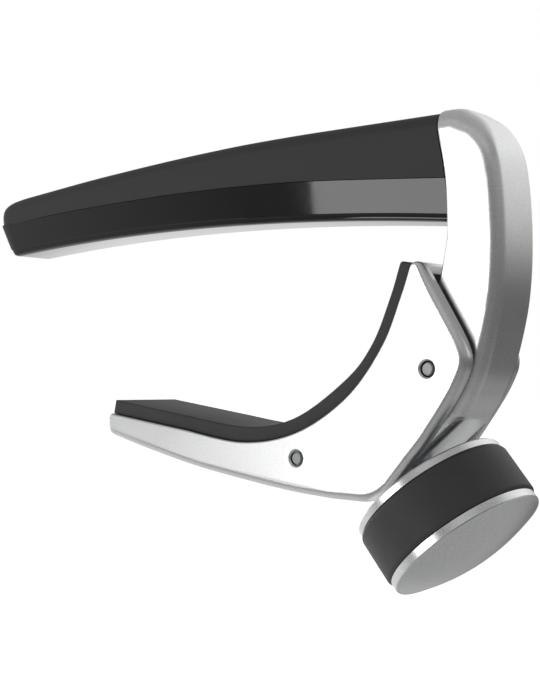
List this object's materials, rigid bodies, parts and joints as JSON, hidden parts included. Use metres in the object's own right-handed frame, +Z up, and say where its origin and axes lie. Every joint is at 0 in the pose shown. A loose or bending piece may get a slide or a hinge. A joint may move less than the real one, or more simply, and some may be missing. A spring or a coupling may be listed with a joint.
{
  "type": "guitar capo",
  "caption": "Screw-operated guitar capo: C-shaped alloy frame with a covered arm and string pad, a pivoting channel jaw with a rubber neck pad, and a round grip knob.",
  "frame": {"origin": "middle of the string pad's contact face, where the capo rests on the strings over the fingerboard", "axes": "+X along the arm from its free tip towards the bow of the frame, +Y across the capo, +Z up, away from the fingerboard"},
  "size_m": [0.0803, 0.0184, 0.0521],
  "materials": {
    "satin_alloy": "satin, fine blasted and plated",
    "soft_touch": "matte soft touch",
    "gloss_rubber": "gloss",
    "pad_rubber": "matte",
    "steel": "bright",
    "brass": "turned",
    "nylon": "natural"
  },
  "bodies": {
    "frame_and_arm": {"c_frame": "satin_alloy", "arm_cover": "soft_touch", "string_pad": "gloss_rubber", "pivot_bush_near": "nylon", "pivot_bush_far": "nylon", "spring_anchor_pin": "steel", "return_spring": "steel", "screw_bush": "brass"},
    "swing_jaw": {"jaw": "satin_alloy", "neck_pad": "pad_rubber", "wear_plate": "steel", "pivot_pin": "steel", "spring_pin": "steel"},
    "nose_cap": {"screw_nose_cap": "nylon"},
    "screw_and_knob": {"screw_spindle": "steel", "knob_hub": "nylon", "knob_inner_ring": "satin_alloy", "knob_grip": "pad_rubber", "knob_end_cap": "satin_alloy", "knob_hub_screw": "steel"}
  },
  "joints": [
    {"name": "jaw_swing", "type": "hinge", "parent": "frame_and_arm", "child": "swing_jaw", "pos_m": [0.03489, 0, -0.01756], "axis": [0, -1, 0], "range_deg": [-4.5, 15], "deforming": ["return_spring"]},
    {"name": "screw_advance", "type": "slide", "parent": "frame_and_arm", "child": "nose_cap", "axis": [0.6361, 0, -0.7716], "range_m": [-0.00085, 0.00283]},
    {"name": "knob_turn", "type": "hinge", "parent": "nose_cap", "child": "screw_and_knob", "pos_m": [0.03135, 0, -0.03052], "axis": [0.6361, 0, -0.7716], "range_deg": [-380, 1270]}
  ],
  "couplings": [
    {"joint": "screw_advance", "follows": "knob_turn", "m_per_rad": 0.00012732},
    {"joint": "jaw_swing", "follows": "knob_turn", "ratio": 0.011604}
  ]
}
